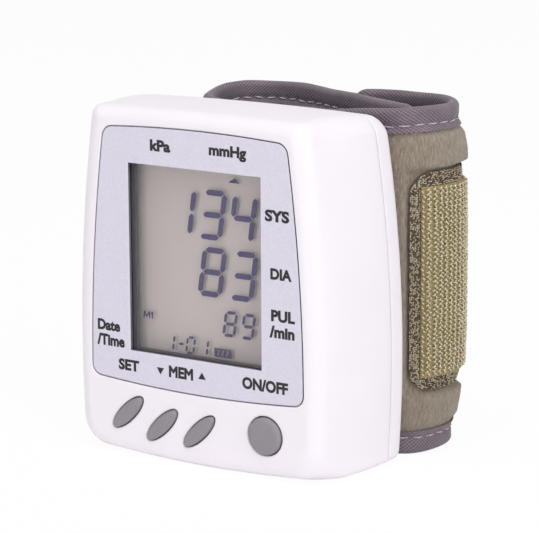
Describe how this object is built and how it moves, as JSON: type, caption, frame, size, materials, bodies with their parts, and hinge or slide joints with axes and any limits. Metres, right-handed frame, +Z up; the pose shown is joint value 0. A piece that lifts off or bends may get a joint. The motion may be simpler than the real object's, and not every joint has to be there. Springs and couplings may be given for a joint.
{
  "type": "wrist blood pressure monitor",
  "caption": "Wrist blood pressure monitor: flared white housing with a display and push buttons, pump and cells inside, on a padded cuff whose flaps fold over one another.",
  "frame": {"origin": "on the flat land under the housing, below the middle of its width and depth", "axes": "+Z up along the display's height, -Y out of the display towards the reader, +X to the reader's right"},
  "size_m": [0.0745, 0.0566, 0.073],
  "materials": {
    "white_housing": "satin moulded white",
    "silver_panel": "pale silver print",
    "clear_lens": "polished clear acrylic",
    "dark_plastic": "matte dark grey",
    "display_glass": "satin grey display",
    "grey_keys": "satin grey silicone",
    "black_rubber": "matte black",
    "board_laminate": "green lacquer",
    "black_moulding": "moulded black",
    "steel": "plain steel",
    "pale_plastic": "natural moulded",
    "clear_tube": "milky silicone",
    "battery_sleeve": "plain printed sleeve",
    "plush": "brushed khaki loop cloth",
    "nylon_lining": "smooth woven nylon",
    "twill_binding": "ribbed grey tape",
    "bladder_film": "soft film",
    "patch_cloth": "speckled woven cloth",
    "hook_tape": "hook tape"
  },
  "bodies": {
    "housing": {"front_shell": "white_housing", "rear_shell": "white_housing", "face_panel": "silver_panel", "display_lens": "clear_lens", "display_bezel": "dark_plastic", "display_cell": "display_glass", "display_connector": "black_rubber", "circuit_board": "board_laminate", "processor_chip": "black_moulding", "buzzer": "black_moulding", "set_switch": "black_moulding", "memory_down_switch": "black_moulding", "memory_up_switch": "black_moulding", "power_switch": "black_moulding", "case_screw_1": "steel", "case_screw_2": "steel", "case_screw_3": "steel", "case_screw_4": "steel", "battery_tray": "pale_plastic", "battery_1": "battery_sleeve", "battery_2": "battery_sleeve", "bridge_contact": "steel", "plus_contact": "steel", "minus_contact": "steel", "contact_spring_1": "steel", "contact_spring_2": "steel", "pump_motor": "steel", "pump_diaphragm": "black_rubber", "pump_head": "black_moulding", "air_manifold": "pale_plastic", "pressure_sensor": "black_moulding", "cuff_nipple": "pale_plastic", "exhaust_valve": "steel", "pump_tube": "clear_tube", "cuff_retainer_plate": "pale_plastic", "cuff_bladder": "bladder_film", "base_cover": "plush", "base_lining": "nylon_lining", "base_top_binding": "twill_binding", "base_bottom_binding": "twill_binding"},
    "set_key": {"set_button": "grey_keys"},
    "memory_down_key": {"memory_down_button": "grey_keys"},
    "memory_up_key": {"memory_up_button": "grey_keys"},
    "power_key": {"power_button": "grey_keys"},
    "door": {"battery_door": "white_housing"},
    "pump_rotor": {"pump_eccentric": "steel"},
    "plunger": {"valve_plunger": "steel"},
    "outer_flap": {"outer_flap_plush": "plush", "outer_flap_lining": "nylon_lining", "outer_flap_top_binding": "twill_binding", "outer_flap_bottom_binding": "twill_binding", "patch_backing": "patch_cloth", "hook_patch": "hook_tape"},
    "inner_flap": {"inner_flap_plush": "plush", "inner_flap_lining": "nylon_lining", "inner_flap_top_binding": "twill_binding", "inner_flap_bottom_binding": "twill_binding"}
  },
  "joints": [
    {"name": "set_press", "type": "slide", "parent": "housing", "child": "set_key", "axis": [0, 1, 0], "range_m": [0, 0.0008], "stiffness_N_per_m": 1000},
    {"name": "memory_down_press", "type": "slide", "parent": "housing", "child": "memory_down_key", "axis": [0, 1, 0], "range_m": [0, 0.0008], "stiffness_N_per_m": 1000},
    {"name": "memory_up_press", "type": "slide", "parent": "housing", "child": "memory_up_key", "axis": [0, 1, 0], "range_m": [0, 0.0008], "stiffness_N_per_m": 1000},
    {"name": "power_press", "type": "slide", "parent": "housing", "child": "power_key", "axis": [0, 1, 0], "range_m": [0, 0.0008], "stiffness_N_per_m": 1000},
    {"name": "door_slide", "type": "slide", "parent": "housing", "child": "door", "axis": [-1, 0, 0], "range_m": [0, 0.02]},
    {"name": "pump_spin", "type": "hinge", "parent": "housing", "child": "pump_rotor", "pos_m": [0.0198, 0.0034, 0.036], "axis": [0, 0, 1], "continuous": true},
    {"name": "plunger_lift", "type": "slide", "parent": "housing", "child": "plunger", "axis": [0, 0, 1], "range_m": [0, 0.0006], "stiffness_N_per_m": 300},
    {"name": "outer_flap_open", "type": "hinge", "parent": "housing", "child": "outer_flap", "pos_m": [0.0337, 0.017, 0.0365], "axis": [0, 0, -1], "range_deg": [0, 75]},
    {"name": "inner_flap_open", "type": "hinge", "parent": "housing", "child": "inner_flap", "pos_m": [-0.0154, 0.0145, 0.0365], "axis": [0, 0, 1], "range_deg": [0, 19]}
  ],
  "couplings": [
    {"joint": "inner_flap_open", "follows": "outer_flap_open", "ratio": 0.25}
  ]
}
